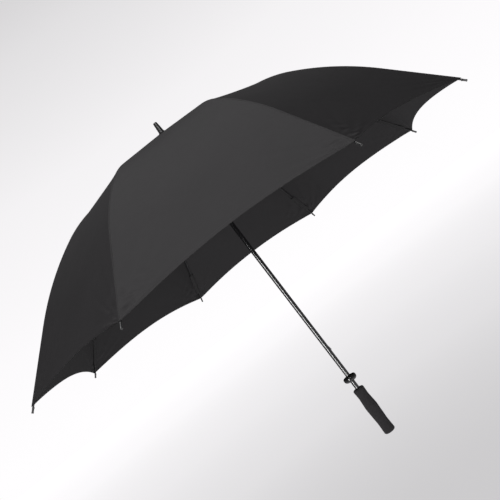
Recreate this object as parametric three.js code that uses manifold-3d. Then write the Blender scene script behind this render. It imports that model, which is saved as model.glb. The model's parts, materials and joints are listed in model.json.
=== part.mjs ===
// A golf umbrella with a straight grip, shown open. Millimetres, +Z up.
// The shaft runs along Z with the ferrule on top, and the origin is the middle of the hand grip.

import * as THREE from 'three';
import { mergeVertices } from 'three/addons/utils/BufferGeometryUtils.js';
import Module from 'manifold-3d';

const wasm = await Module();
wasm.setup();

const { degToRad, lerp } = THREE.MathUtils;

// Driving dimensions
const ribCount = 8;
const gap = 0.3;
const sector = (2 * Math.PI) / ribCount;
const firstRibAngle = sector / 2;

// The ridge line of the cloth over a rib: each stretch runs to a length along it, and bends
// evenly to its slope there. It is straight to the rib's joint, bent over the joint, then bowed.
const dome = {
  apexZ: 897.5,
  crownSlope: 2,
  stretches: [
    { to: 30, slope: 15.5 }, { to: 295, slope: 15.5 }, { to: 375, slope: 31 },
    { to: 595, slope: 48 }, { to: 900, slope: 48 },
  ],
};
const cloth = { thickness: 1.2, holeRadius: 8, cornerAt: 772.5, hemRise: 33, sag: 8 };
const rib = { depth: 4, radius: 1.75, jointAt: 347, jointDrop: 2, endAt: 779, tipAt: 786.5 };
const bracket = { reach: 7, radius: 2.6, wall: 1, inside: 3, pin: 0.8, neck: 10 };
const tongue = { thickness: 2.4, radius: 2.2, neckRadius: 1.6, eye: 1.15 };
const crown = { radius: 11, drop: 3.5, eyeRadius: 2.2, wire: 0.6, groove: 0.95, outer: 13.2 };
const slot = { width: 2.9, floor: 8.6 };
const shaft = { radius: 6, bore: 5.2, bottom: -52, top: 909 };
const notch = { above: 2, below: 7 };
const runner = { above: 6, collarBelow: 5, below: 44, tube: 8.2 };
const catches = {
  height: 14, reach: 8, shoulder: 2, thickness: 2.4, back: 0.2, legDepth: 1.4, leg: 30, window: 16,
};
const ferrule = { bottom: 899.2, top: 933, base: 8.2, end: 5.3, foot: 4, edge: 0.8, boreTop: 910 };
const cap = { bottom: 897.9, top: 898.9, hole: 6.5, radius: 15 };
const cup = { bottom: 91.5, top: 106.5, radius: 18, hub: 8.2, inner: 14.6, floor: 95.5, edge: 6, lip: 1 };
const grip = {
  length: 135, end: 15.5, neck: 14.3, swell: 16.6, waist: 14.5, bore: 7.9, boreBottom: -59.5, edge: 4,
  neckDown: 0.18, swellDown: 0.42, slopeDown: 0.6, waistDown: 0.76,
};
const core = { outer: 7.6, bottom: -59, floor: -55, top: 66 };
const strap = { spoke: 3, from: 600, to: 750, near: 12, width: 22 };
const tipCap = { mouth: 2.6, mouthLength: 3, neck: 2.1, bead: 2.4, beadLength: 3 };
const stopPin = { radius: 0.9, hole: 1.2, length: 17, above: 2 };
const closedReach = 4;
const overlap = 1;
const slotPlay = 0.4;
const sides = 24;

const sleeveBore = shaft.radius + gap;
const jointZ = underRidge(crown.radius, rib.depth + crown.drop).z;

const materials = {
  cloth: { color: 0x2b2a2c, roughness: 0.85, metalness: 0 },
  fibreglass: { color: 0x18181a, roughness: 0.45, metalness: 0 },
  paintedSteel: { color: 0x141416, roughness: 0.2, metalness: 0.6 },
  plastic: { color: 0x121213, roughness: 0.35, metalness: 0 },
  foam: { color: 0x242326, roughness: 0.95, metalness: 0 },
  wire: { color: 0x9a9a9c, roughness: 0.3, metalness: 1 },
};

function ridge(along) {
  let [r, z, from, slope] = [0, dome.apexZ, 0, degToRad(dome.crownSlope)];
  for (const stretch of dome.stretches) {
    const length = Math.min(along, stretch.to) - from;
    if (length <= 0) break;
    const bend = (degToRad(stretch.slope) - slope) * (length / (stretch.to - from));
    const chord = bend === 0 ? length : length * (Math.sin(bend / 2) / (bend / 2));
    r += chord * Math.cos(slope + bend / 2);
    z -= chord * Math.sin(slope + bend / 2);
    slope += bend;
    from = stretch.to;
  }
  return { r, z, slope };
}

// A point under the ridge line, in the XZ plane of the rib
function underRidge(along, depth) {
  const { r, z, slope } = ridge(along);
  return new THREE.Vector3(r - depth * Math.sin(slope), 0, z - depth * Math.cos(slope));
}

// Joint points of one rib, in its own plane
const ribHinge = new THREE.Vector3(crown.radius, 0, jointZ);
const flexJoint = underRidge(rib.jointAt, rib.depth + rib.jointDrop);
const stretcherJoint = underRidge(rib.jointAt, rib.depth + rib.jointDrop + bracket.reach);
const runnerJoint = new THREE.Vector3(crown.radius, 0, 2 * stretcherJoint.z - ribHinge.z);
const runnerBottom = runnerJoint.z - runner.below;
const travel = runnerTravel();

// The rib and its stretcher are equal links, so the runner drops twice as far as the joint
// between them, which ends closedReach further out than the two hinges.
function runnerTravel() {
  const linkLength = ribHinge.distanceTo(stretcherJoint);
  const closedDrop = Math.sqrt(linkLength ** 2 - closedReach ** 2);
  return 2 * (closedDrop - (ribHinge.z - stretcherJoint.z));
}

// Solids

function solidOf(geometry) {
  const bare = geometry.clone();
  bare.deleteAttribute('normal');
  bare.deleteAttribute('uv');
  const merged = mergeVertices(bare, 1e-4);
  return new wasm.Manifold(new wasm.Mesh({
    numProp: 3,
    vertProperties: new Float32Array(merged.attributes.position.array),
    triVerts: new Uint32Array(merged.index.array),
  }));
}

function geometryOf(solid) {
  const { vertProperties, triVerts } = solid.getMesh();
  const geometry = new THREE.BufferGeometry();
  geometry.setAttribute('position', new THREE.BufferAttribute(vertProperties, 3));
  geometry.setIndex(new THREE.BufferAttribute(triVerts, 1));
  geometry.computeVertexNormals();
  return geometry;
}

function join(...geometries) {
  return geometryOf(geometries.map(solidOf).reduce((all, next) => all.add(next)));
}

function cut(body, ...tools) {
  return geometryOf(tools.map(solidOf).reduce((left, tool) => left.subtract(tool), solidOf(body)));
}

function piece(name, geometry, finish) {
  const mesh = new THREE.Mesh(geometry, new THREE.MeshStandardMaterial(materials[finish]));
  mesh.name = name;
  return mesh;
}

// A turned shape about Z from [radius, height] points
function turned(points, segments = sides) {
  const profile = points.map(([r, z]) => new THREE.Vector2(r, z));
  return new THREE.LatheGeometry(profile, segments).rotateX(Math.PI / 2);
}

// A turned ring with a square section
function collar(inner, outer, bottom, top) {
  return turned([[inner, bottom], [outer, bottom], [outer, top], [inner, top], [inner, bottom]]);
}

function block(sizeX, sizeY, sizeZ, x, y, z) {
  return new THREE.BoxGeometry(sizeX, sizeY, sizeZ).translate(x, y, z);
}

// A pin across the rib plane
function crossPin(centre, radius, length) {
  return new THREE.CylinderGeometry(radius, radius, length, 8).translate(centre.x, 0, centre.z);
}

// A flat plate in the XZ plane from a shape drawn in x and z, its middle at y = across
function plate(shape, thickness, across = 0) {
  const options = { depth: thickness, bevelEnabled: false, curveSegments: 2 };
  const geometry = new THREE.ExtrudeGeometry(shape, options);
  return geometry.rotateX(Math.PI / 2).translate(0, across + thickness / 2, 0);
}

// The outline of a flat link with round ends at a and b
function linkShape(a, radiusA, b, radiusB) {
  const toward = Math.atan2(b.z - a.z, b.x - a.x);
  const turn = Math.acos((radiusA - radiusB) / a.distanceTo(b));
  const shape = new THREE.Shape();
  shape.absarc(a.x, a.z, radiusA, toward + turn, toward - turn + 2 * Math.PI, false);
  shape.absarc(b.x, b.z, radiusB, toward - turn, toward + turn, false);
  return shape;
}

class RibLine extends THREE.Curve {
  constructor(from, to) {
    super();
    this.from = from;
    this.to = to;
  }

  getPoint(t, target = new THREE.Vector3()) {
    return target.copy(underRidge(lerp(this.from, this.to, t), rib.depth));
  }
}

// A rod with six flats along a line
function rod(line, radius, steps) {
  const section = new THREE.Shape().absarc(0, 0, radius, 0, 2 * Math.PI, false);
  const options = { extrudePath: line, steps, curveSegments: 3, bevelEnabled: false };
  return new THREE.ExtrudeGeometry(section, options);
}

// A closed sheet between two surfaces over the same grid; point(u, v, depth) gives both.
function sheet(point, columns, rows, outerDepth, innerDepth) {
  const positions = [];
  for (const depth of [outerDepth, innerDepth]) {
    for (let row = 0; row <= rows; row += 1) {
      for (let column = 0; column <= columns; column += 1) {
        positions.push(...point(column / columns, row / rows, depth).toArray());
      }
    }
  }
  const layer = (columns + 1) * (rows + 1);
  const at = (column, row, side) => side * layer + row * (columns + 1) + column;
  const index = [];
  const quad = (a, b, c, d) => index.push(a, b, c, a, c, d);
  for (let row = 0; row < rows; row += 1) {
    for (let column = 0; column < columns; column += 1) {
      const [c, r] = [column + 1, row + 1];
      quad(at(column, row, 0), at(column, r, 0), at(c, r, 0), at(c, row, 0));
      quad(at(column, row, 1), at(c, row, 1), at(c, r, 1), at(column, r, 1));
    }
  }
  for (let row = 0; row < rows; row += 1) {
    quad(at(0, row, 0), at(0, row, 1), at(0, row + 1, 1), at(0, row + 1, 0));
    quad(at(columns, row, 0), at(columns, row + 1, 0), at(columns, row + 1, 1), at(columns, row, 1));
  }
  for (let column = 0; column < columns; column += 1) {
    quad(at(column, 0, 0), at(column + 1, 0, 0), at(column + 1, 0, 1), at(column, 0, 1));
    quad(at(column, rows, 0), at(column, rows, 1), at(column + 1, rows, 1), at(column + 1, rows, 0));
  }
  const geometry = new THREE.BufferGeometry();
  geometry.setAttribute('position', new THREE.Float32BufferAttribute(positions, 3));
  geometry.setIndex(index);
  geometry.computeVertexNormals();
  return geometry;
}

// A point of the cloth between the rib at angle 0 and the next one. The cloth is straight from
// rib to rib, apart from a shallow sag, and its depth is measured along the ribs' normals.
function clothPoint(along, across, depth) {
  const near = ridge(along);
  const normalAt = (angle) => new THREE.Vector3(
    Math.sin(near.slope) * Math.cos(angle),
    Math.sin(near.slope) * Math.sin(angle),
    Math.cos(near.slope),
  );
  const ridgeAt = (angle) => new THREE.Vector3(near.r * Math.cos(angle), near.r * Math.sin(angle), near.z);
  const point = ridgeAt(0).lerp(ridgeAt(sector), across);
  const normal = normalAt(0).lerp(normalAt(sector), across);
  const bow = 4 * across * (1 - across);
  const inward = depth + cloth.sag * bow * (along / cloth.cornerAt);
  return point.addScaledVector(normal, -inward);
}

function canopyPanel() {
  const columns = 6;
  const rows = 18;
  const point = (u, v, depth) => {
    const hem = cloth.cornerAt - cloth.hemRise * 4 * u * (1 - u);
    const along = lerp(cloth.holeRadius, hem, v);
    const edge = gap / 2 / (2 * ridge(along).r * Math.sin(sector / 2));
    return clothPoint(along, lerp(edge, 1 - edge, u), depth);
  };
  return sheet(point, columns, rows, 0, cloth.thickness);
}

// The strap is sewn to the seam near the rib and lies along it on the outside of the cloth.
function tieStrap() {
  const rows = 6;
  const point = (u, v, depth) => {
    const along = lerp(strap.from, strap.to, v);
    const chord = 2 * ridge(along).r * Math.sin(sector / 2);
    return clothPoint(along, (strap.near + u * strap.width) / chord, depth);
  };
  return sheet(point, 2, rows, -gap - cloth.thickness, -gap);
}

function ribInner() {
  const neck = underRidge(rib.jointAt - bracket.neck, rib.depth);
  const eyeNeck = underRidge(crown.radius + bracket.neck + overlap, rib.depth);
  const line = new RibLine(crown.radius + bracket.neck - overlap, rib.jointAt - bracket.neck / 2);
  const eye = linkShape(ribHinge, crown.eyeRadius, eyeNeck, tongue.neckRadius);
  const cheekMiddle = (bracket.inside + bracket.wall) / 2;
  const cheeks = [-cheekMiddle, cheekMiddle].flatMap((across) => [
    plate(linkShape(flexJoint, bracket.radius, neck, tongue.neckRadius), bracket.wall, across),
    plate(linkShape(flexJoint, bracket.radius, stretcherJoint, bracket.radius), bracket.wall, across),
  ]);
  const pins = [flexJoint, stretcherJoint].map((joint) =>
    crossPin(joint, bracket.pin, bracket.inside + bracket.wall));
  const body = join(rod(line, rib.radius, 7), plate(eye, tongue.thickness), ...cheeks, ...pins);
  return cut(body, crossPin(ribHinge, crown.groove, slot.width));
}

function ribOuter() {
  const neck = underRidge(rib.jointAt + bracket.neck, rib.depth);
  const line = new RibLine(rib.jointAt + bracket.neck / 2, rib.endAt);
  const end = linkShape(flexJoint, tongue.radius, neck, tongue.neckRadius);
  const body = join(rod(line, rib.radius, 9), plate(end, tongue.thickness));
  return cut(body, crossPin(flexJoint, tongue.eye, bracket.inside));
}

function stretcher() {
  const along = new THREE.Vector3().subVectors(runnerJoint, stretcherJoint).normalize();
  const from = (joint, distance) => joint.clone().addScaledVector(along, distance);
  const start = from(stretcherJoint, bracket.neck / 2);
  const shank = new THREE.LineCurve3(start, from(runnerJoint, overlap - bracket.neck));
  const outerNeck = from(stretcherJoint, bracket.neck);
  const innerNeck = from(runnerJoint, -bracket.neck - 2 * overlap);
  const body = join(
    rod(shank, rib.radius, 1),
    plate(linkShape(stretcherJoint, tongue.radius, outerNeck, tongue.neckRadius), tongue.thickness),
    plate(linkShape(runnerJoint, crown.eyeRadius, innerNeck, tongue.neckRadius), tongue.thickness),
  );
  const outerEye = crossPin(stretcherJoint, tongue.eye, bracket.inside);
  const innerEye = crossPin(runnerJoint, crown.groove, bracket.inside);
  return cut(body, outerEye, innerEye);
}

// The rib end cap: a blind sleeve with a round nose, drawn along +Z from its mouth
function tipGeometry() {
  const length = rib.tipAt - cloth.cornerAt - gap;
  const bore = rib.radius + gap;
  const depth = rib.endAt - cloth.cornerAt;
  const { mouth, mouthLength, neck, bead, beadLength } = tipCap;
  return turned([
    [0, depth], [bore, depth], [bore, 0], [mouth, 0], [mouth, mouthLength], [neck, mouthLength + 1],
    [neck, length - beadLength], [bead, length - beadLength / 2], [bead / 2, length - gap], [0, length],
  ], 8);
}

// Eight slots and a wire groove, for the eyes that hang on a ring wire
function slottedCollar(bottom, top, wireZ) {
  const depth = crown.outer + 2 * overlap - slot.floor;
  const height = top - bottom + 2 * overlap;
  const slots = Array.from({ length: ribCount }, (_, i) =>
    block(depth, slot.width, height, slot.floor + depth / 2, 0, (top + bottom) / 2)
      .rotateZ(firstRibAngle + i * sector));
  return cut(collar(sleeveBore, crown.outer, bottom, top), ...slots, ringWire(crown.groove, wireZ));
}

function ringWire(radius, z) {
  return new THREE.TorusGeometry(crown.radius, radius, 6, sides).translate(0, 0, z);
}

function runnerBody() {
  const head = slottedCollar(runnerJoint.z - runner.collarBelow, runnerJoint.z + runner.above, runnerJoint.z);
  const sleeve = collar(sleeveBore, runner.tube, runnerBottom, runnerJoint.z + overlap);
  const windowZ = bottomCatchTop() + travel + overlap - catches.window / 2;
  const width = catches.thickness + 2 * slotPlay;
  const window = block(shaft.radius, width, catches.window, runner.tube, 0, windowZ);
  return cut(join(head, sleeve), window);
}

// The lower catch stands in the runner's window when the umbrella is closed.
function bottomCatchTop() {
  return runnerBottom - travel + 3 + catches.height;
}

function topCatchTop() {
  return runnerBottom - 1;
}

// A sprung tongue: a wedge with one flat shoulder, and a leg down the inside of the shaft
function catchPlate(flatZ, slantZ, legEnd) {
  const { back, reach, shoulder, legDepth } = catches;
  const outline = [
    [back, flatZ], [reach, flatZ], [reach, flatZ + Math.sign(slantZ - flatZ) * shoulder],
    [shaft.radius, slantZ], [back + legDepth, slantZ], [back + legDepth, legEnd], [back, legEnd],
  ];
  return plate(new THREE.Shape(outline.map(([x, z]) => new THREE.Vector2(x, z))), catches.thickness);
}

function shaftTube() {
  const width = catches.thickness + 2 * slotPlay;
  const slots = [topCatchTop(), bottomCatchTop()].map((top) =>
    block(shaft.radius, width, catches.height + 2, shaft.radius, 0, top - catches.height / 2));
  const stopHole = crossPin(stopPinCentre(), stopPin.hole, stopPin.length);
  return cut(collar(shaft.bore, shaft.radius, shaft.bottom, shaft.top), ...slots, stopHole);
}

// The pin through the shaft that stops the runner at the top
function stopPinCentre() {
  return new THREE.Vector3(0, 0, runnerJoint.z + runner.above + stopPin.above);
}

function ferruleGeometry() {
  const { bottom, top, base, end, boreTop, foot, edge } = ferrule;
  return turned([
    [0, boreTop], [sleeveBore, boreTop], [sleeveBore, bottom], [base - edge, bottom], [base, bottom + edge],
    [base, bottom + foot], [base - edge, bottom + foot + edge],
    [end, top - edge], [end - edge, top], [0, top],
  ]);
}

// The cup that holds the rib tips when the umbrella is closed has a fat rounded rim.
function tipCup() {
  const arc = (radius, height, from, to) => Array.from({ length: 4 }, (_, i) => {
    const angle = degToRad(lerp(from, to, i / 3));
    return [radius + cup.edge * Math.cos(angle), height + cup.edge * Math.sin(angle)];
  });
  return turned([
    [sleeveBore, cup.bottom],
    ...arc(cup.radius - cup.edge, cup.bottom + cup.edge, -90, 0),
    ...arc(cup.radius - cup.edge, cup.top - cup.edge, 0, 60),
    [cup.inner + cup.lip, cup.top - cup.lip], [cup.inner, cup.top - 2 * cup.lip],
    [cup.inner, cup.floor + 2 * cup.lip],
    [cup.inner - 2 * cup.lip, cup.floor], [cup.hub, cup.floor], [cup.hub, cup.top - 2 * cup.lip],
    [sleeveBore, cup.top - 2 * cup.lip], [sleeveBore, cup.bottom],
  ]);
}

// Down the foam grip from the top come the shoulder, neck, palm swell, waist and end.
function gripGeometry() {
  const { length, end, neck, swell, waist, bore, boreBottom, edge } = grip;
  const half = length / 2;
  const contour = new THREE.SplineCurve([
    [end, half - edge], [neck, half - grip.neckDown * length], [swell, half - grip.swellDown * length],
    [(swell + waist) / 2, half - grip.slopeDown * length], [waist, half - grip.waistDown * length],
    [end, edge - half],
  ].map(([r, z]) => new THREE.Vector2(r, z)));
  const side = contour.getPoints(10).map(({ x, y }) => [x, y]);
  const corner = (z, from, to) => [1, 2].map((i) => {
    const angle = degToRad(lerp(from, to, i / 3));
    return [end - edge + edge * Math.cos(angle), z + edge * Math.sin(angle)];
  });
  return turned([
    [0, boreBottom], [bore, boreBottom], [bore, half], [end - edge, half],
    ...corner(half - edge, 90, 0), ...side, ...corner(edge - half, 0, -90), [end - edge, -half], [0, -half],
  ].reverse());
}

function gripCore() {
  return turned([
    [0, core.bottom], [core.outer, core.bottom], [core.outer, core.top], [sleeveBore, core.top],
    [sleeveBore, core.floor], [0, core.floor],
  ]);
}

// The assembly

const umbrella = new THREE.Group();
umbrella.add(
  piece('shaft_tube', shaftTube(), 'paintedSteel'),
  piece('ferrule', ferruleGeometry(), 'plastic'),
  piece('crown_cap', collar(cap.hole, cap.radius, cap.bottom, cap.top), 'plastic'),
  piece('notch', slottedCollar(ribHinge.z - notch.below, ribHinge.z + notch.above, ribHinge.z), 'plastic'),
  piece('notch_wire', ringWire(crown.wire, ribHinge.z), 'wire'),
  piece('stop_pin', crossPin(stopPinCentre(), stopPin.radius, stopPin.length), 'wire'),
  piece(
    'top_catch',
    catchPlate(topCatchTop(), topCatchTop() - catches.height, topCatchTop() - catches.leg),
    'wire',
  ),
  piece(
    'bottom_catch',
    catchPlate(bottomCatchTop() - catches.height, bottomCatchTop(), bottomCatchTop() + catches.leg),
    'wire',
  ),
  piece('runner', runnerBody(), 'plastic'),
  piece('runner_wire', ringWire(crown.wire, runnerJoint.z), 'wire'),
  piece('tip_cup', tipCup(), 'plastic'),
  piece('grip', gripGeometry(), 'foam'),
  piece('grip_core', gripCore(), 'plastic'),
);

const skirt = ridge(cloth.cornerAt);
for (let number = 1; number <= ribCount; number += 1) {
  const spoke = new THREE.Group();
  spoke.rotation.z = firstRibAngle + (number - 1) * sector;
  const endCap = piece(`rib_tip_${number}`, tipGeometry(), 'plastic');
  endCap.position.copy(underRidge(cloth.cornerAt + gap, rib.depth));
  endCap.rotation.y = Math.PI / 2 + skirt.slope;
  spoke.add(
    piece(`rib_inner_${number}`, ribInner(), 'fibreglass'),
    piece(`rib_outer_${number}`, ribOuter(), 'fibreglass'),
    piece(`stretcher_${number}`, stretcher(), 'paintedSteel'),
    endCap,
    piece(`canopy_panel_${number}`, canopyPanel(), 'cloth'),
  );
  if (number === strap.spoke) {
    spoke.add(piece('tie_strap', tieStrap(), 'cloth'));
  }
  umbrella.add(spoke);
}

export default umbrella;
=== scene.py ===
"""The looks of a black golf umbrella, open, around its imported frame. Metres, +Z up the shaft."""
import json
import math

import bmesh
import bpy
from mathutils import Matrix, Vector

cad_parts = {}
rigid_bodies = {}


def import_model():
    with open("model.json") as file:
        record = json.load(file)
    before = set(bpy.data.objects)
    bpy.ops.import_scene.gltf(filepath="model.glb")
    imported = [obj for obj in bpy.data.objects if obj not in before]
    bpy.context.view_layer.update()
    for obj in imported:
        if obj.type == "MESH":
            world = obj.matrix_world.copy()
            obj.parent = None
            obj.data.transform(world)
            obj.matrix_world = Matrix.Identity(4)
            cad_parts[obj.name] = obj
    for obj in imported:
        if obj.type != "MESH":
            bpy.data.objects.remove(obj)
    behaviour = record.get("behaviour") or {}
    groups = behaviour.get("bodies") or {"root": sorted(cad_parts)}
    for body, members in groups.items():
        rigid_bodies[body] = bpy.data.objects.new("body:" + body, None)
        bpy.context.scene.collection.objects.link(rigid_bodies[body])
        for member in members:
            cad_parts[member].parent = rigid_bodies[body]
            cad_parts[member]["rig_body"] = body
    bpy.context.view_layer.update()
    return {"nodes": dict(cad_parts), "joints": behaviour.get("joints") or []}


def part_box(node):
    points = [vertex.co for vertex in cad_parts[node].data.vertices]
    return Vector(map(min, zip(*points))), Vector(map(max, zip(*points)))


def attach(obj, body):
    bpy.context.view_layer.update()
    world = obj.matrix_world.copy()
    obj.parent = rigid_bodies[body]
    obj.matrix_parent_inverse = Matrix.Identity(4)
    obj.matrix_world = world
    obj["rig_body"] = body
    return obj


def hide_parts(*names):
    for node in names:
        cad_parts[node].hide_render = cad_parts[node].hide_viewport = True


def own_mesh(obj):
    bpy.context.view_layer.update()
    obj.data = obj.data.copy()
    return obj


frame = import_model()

# Camera

eye = Vector((0.00124, -1.65161, 0.42178))
look_right = Vector((0.79381, 0.03672, -0.60705))
look_up = Vector((0.60816, -0.04290, 0.79266))
look_back = Vector((0.00307, -0.99840, -0.05639))
camera = bpy.data.objects.new("camera", bpy.data.cameras.new("camera"))
bpy.context.scene.collection.objects.link(camera)
camera_turn = Matrix((look_right, look_up, look_back)).transposed().to_4x4()
camera.matrix_world = Matrix.Translation(eye) @ camera_turn
camera.data.lens = 45.95
camera.data.sensor_width = 36
camera.data.clip_start = 0.02
camera.data.clip_end = 200
bpy.context.scene.camera = camera

# Driving sizes

RIBS = 8
SECTOR = math.tau / RIBS
FIRST_RIB = SECTOR / 2
CROWN_SLOPE = 2
STRETCHES = ((0.030, 15.5), (0.295, 15.5), (0.375, 31), (0.595, 48), (0.900, 48))
APEX_Z = 0.8975
CORNER_AT = 0.7725
HEM_RISE = 0.033
SAG = 0.008
CLOTH = 0.0005
HEM_FOLD = 0.009
FLEX_AT = 0.347
RIB_DEPTH = 0.004
ROD = 0.00175
RIB_END = 0.779
TIP_END = 0.7865
EYES = 0.011
EYE_DROP = 0.0035
JOINT_DROP = 0.002
STRUT_DROP = 0.009
PIN = 0.0008
SHAFT = 0.006
BORE = 0.0063
ROD_STEP = 0.012
WIRE = 0.0006
TIES_AT = {"inner": (0.13, 0.24), "outer": (0.47, 0.58)}
CRIMP_AT = 0.720
# round ends of the links: their eyes and necks, and the thickness of the tongues and cheeks
EYE, NECK, TONGUE = 0.0022, 0.0016, 0.0024
CHEEK_EYE, CHEEK = 0.0026, 0.0009


def spoke(number):
    """The turn that carries a shape made at azimuth 0 to the rib of that number, from 1."""
    return Matrix.Rotation(FIRST_RIB + (number - 1) * SECTOR, 4, "Z")


def ease(x):
    x = min(max(x, 0.0), 1.0)
    return x * x * (3 - 2 * x)


def ridge(along):
    """The cloth's line over a rib: radius, height and downward slope at a length along it.

    Each stretch of it bends evenly, so that it has the stretch's slope in degrees at its end.
    """
    r, z, start, slope = 0.0, APEX_Z, 0.0, math.radians(CROWN_SLOPE)
    for end, last_slope in STRETCHES:
        length = min(along, end) - start
        if length <= 0:
            break
        bend = (math.radians(last_slope) - slope) * length / (end - start)
        chord = length * math.sin(bend / 2) / (bend / 2) if bend else length
        r += chord * math.cos(slope + bend / 2)
        z -= chord * math.sin(slope + bend / 2)
        slope += bend
        start = end
    return r, z, slope


def under_ridge(along, depth):
    r, z, slope = ridge(along)
    return Vector((r - depth * math.sin(slope), 0, z - depth * math.cos(slope)))


HINGE = Vector((EYES, 0, under_ridge(EYES, RIB_DEPTH + EYE_DROP).z))
FLEX = under_ridge(FLEX_AT, RIB_DEPTH + JOINT_DROP)
STRUT = under_ridge(FLEX_AT, RIB_DEPTH + STRUT_DROP)
RUNNER_PIVOT = Vector((EYES, 0, 2 * STRUT.z - HINGE.z))


def gore_width(along):
    return 2 * ridge(along)[0] * math.sin(SECTOR / 2)


def hem_at(across):
    return CORNER_AT - HEM_RISE * 4 * across * (1 - across)


def tension_folds(across, along, number):
    """How far the folds that fan out of a pulled corner, and the cloth's slow billow, stand out."""
    width = gore_width(along)
    from_seam = min(across, 1 - across) * width
    from_corner = max(CORNER_AT - along, 0.0)
    reach = math.hypot(from_seam, from_corner)
    turn = math.atan2(from_seam, from_corner + 1e-9)
    shift = 1.7 * number + (0.9 if across > 0.5 else 0.0)
    fan = math.sin(19 * turn + shift) + 0.5 * math.sin(31 * turn + 2 * shift)
    fade = math.exp(-reach / 0.085) * ease(reach / 0.03) * ease(from_seam / 0.012)
    middle = 1 - ease(2 * min(across, 1 - across))
    corner = 0.0010 * fan * fade * middle
    along_seam = 0.00035 * math.sin(along / 0.021 + shift) * math.exp(-from_seam / 0.014)
    pull = along_seam * ease(from_seam / 0.004) * ease(from_corner / 0.05)
    billow = 0.0016 * math.sin(math.pi * across) ** 2 * math.sin(along / 0.11 + 2.3 * number)
    return corner + pull + billow * ease(along / 0.2)


def gore_point(across, along, lift, number):
    """A point of the gore between the rib of that number, at azimuth 0, and the next one."""
    r, z, slope = ridge(along)
    near_rib = Vector((r, 0, z))
    next_rib = Vector((r * math.cos(SECTOR), r * math.sin(SECTOR), z))
    side = math.sin(slope)
    near_normal = Vector((side, 0, math.cos(slope)))
    next_normal = Vector((side * math.cos(SECTOR), side * math.sin(SECTOR), math.cos(slope)))
    sag = SAG * 4 * across * (1 - across) * along / CORNER_AT
    out = lift - sag + tension_folds(across, along, number)
    return near_rib.lerp(next_rib, across) + near_normal.lerp(next_normal, across) * out


def beside_rib(distance, along, lift, number):
    """A point of the cloth at a signed distance from the rib of that number, at azimuth 0."""
    share = abs(distance) / gore_width(along)
    if distance >= 0:
        return gore_point(share, along, lift, number)
    before = (number - 2) % RIBS + 1
    return Matrix.Rotation(-SECTOR, 3, "Z") @ gore_point(1 - share, along, lift, before)


# Mesh helpers

def face_out(bm):
    """Turns a closed shell's faces outwards, however thin it is."""
    bmesh.ops.recalc_face_normals(bm, faces=bm.faces[:])
    if bm.calc_volume(signed=True) < 0:
        bmesh.ops.reverse_faces(bm, faces=bm.faces[:])


def to_piece(bm, name, material, body, sharp=35):
    """Turns a bmesh into a smooth-shaded piece that rides on a body."""
    mesh = bpy.data.meshes.new(name)
    bm.to_mesh(mesh)
    bm.free()
    mesh.shade_smooth()
    mesh.set_sharp_from_angle(angle=math.radians(sharp))
    piece = bpy.data.objects.new(name, mesh)
    bpy.context.scene.collection.objects.link(piece)
    mesh.materials.append(material)
    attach(piece, body)
    return piece


def spun(bm, steps):
    """Spins a line or a closed outline fully round Z and closes it."""
    bmesh.ops.spin(
        bm, geom=bm.verts[:] + bm.edges[:], cent=(0, 0, 0), axis=(0, 0, 1),
        angle=math.tau, steps=steps, use_merge=True,
    )
    bmesh.ops.remove_doubles(bm, verts=bm.verts[:], dist=1e-6)
    face_out(bm)
    return bm


def turned(corners, steps=72):
    """A closed turned shape about Z from (radius, height, rounding) corners in order."""
    bm = bmesh.new()
    line = [bm.verts.new((r, 0, z)) for r, z, _ in corners]
    on_axis = corners[0][0] == 0
    pairs = list(zip(line, line[1:])) + ([] if on_axis else [(line[-1], line[0])])
    for a, b in pairs:
        bm.edges.new((a, b))
    for vert, (_, _, rounding) in zip(line, corners):
        if rounding:
            bmesh.ops.bevel(
                bm, geom=[vert], offset=rounding, offset_type="OFFSET", affect="VERTICES",
                segments=5, profile=0.5, material=-1,
            )
    return spun(bm, steps)


def joined(*parts):
    """One bmesh that holds all the given ones."""
    whole = bmesh.new()
    for part in parts:
        holder = bpy.data.meshes.new("holder")
        part.to_mesh(holder)
        part.free()
        whole.from_mesh(holder)
        bpy.data.meshes.remove(holder)
    return whole


def moved(bm, matrix):
    bmesh.ops.transform(bm, matrix=matrix, verts=bm.verts[:])
    return bm


def box(size, centre):
    bm = bmesh.new()
    bmesh.ops.create_cube(bm, size=1, matrix=Matrix.Translation(centre) @ Matrix.Diagonal((*size, 1)))
    return bm


def ring(radius, wire, steps=72, height=0.0):
    """A wire ring round Z at a height."""
    bm = bmesh.new()
    section = Matrix.Translation((radius, 0, height)) @ Matrix.Rotation(math.pi / 2, 4, "X")
    bmesh.ops.create_circle(bm, segments=10, radius=wire, matrix=section)
    return spun(bm, steps)


def cut(piece, tool):
    """Takes the bmesh away from the piece."""
    mesh = bpy.data.meshes.new("tool")
    tool.to_mesh(mesh)
    tool.free()
    cutter = bpy.data.objects.new("tool", mesh)
    bpy.context.scene.collection.objects.link(cutter)
    modifier = piece.modifiers.new("cut", "BOOLEAN")
    modifier.operation = "DIFFERENCE"
    modifier.solver = "EXACT"
    modifier.object = cutter
    evaluated = piece.evaluated_get(bpy.context.evaluated_depsgraph_get())
    result = bpy.data.meshes.new_from_object(evaluated)
    piece.modifiers.clear()
    piece.data = result
    result.name = piece.name
    result.shade_smooth()
    result.set_sharp_from_angle(angle=math.radians(30))
    bpy.data.objects.remove(cutter)
    return piece


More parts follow.
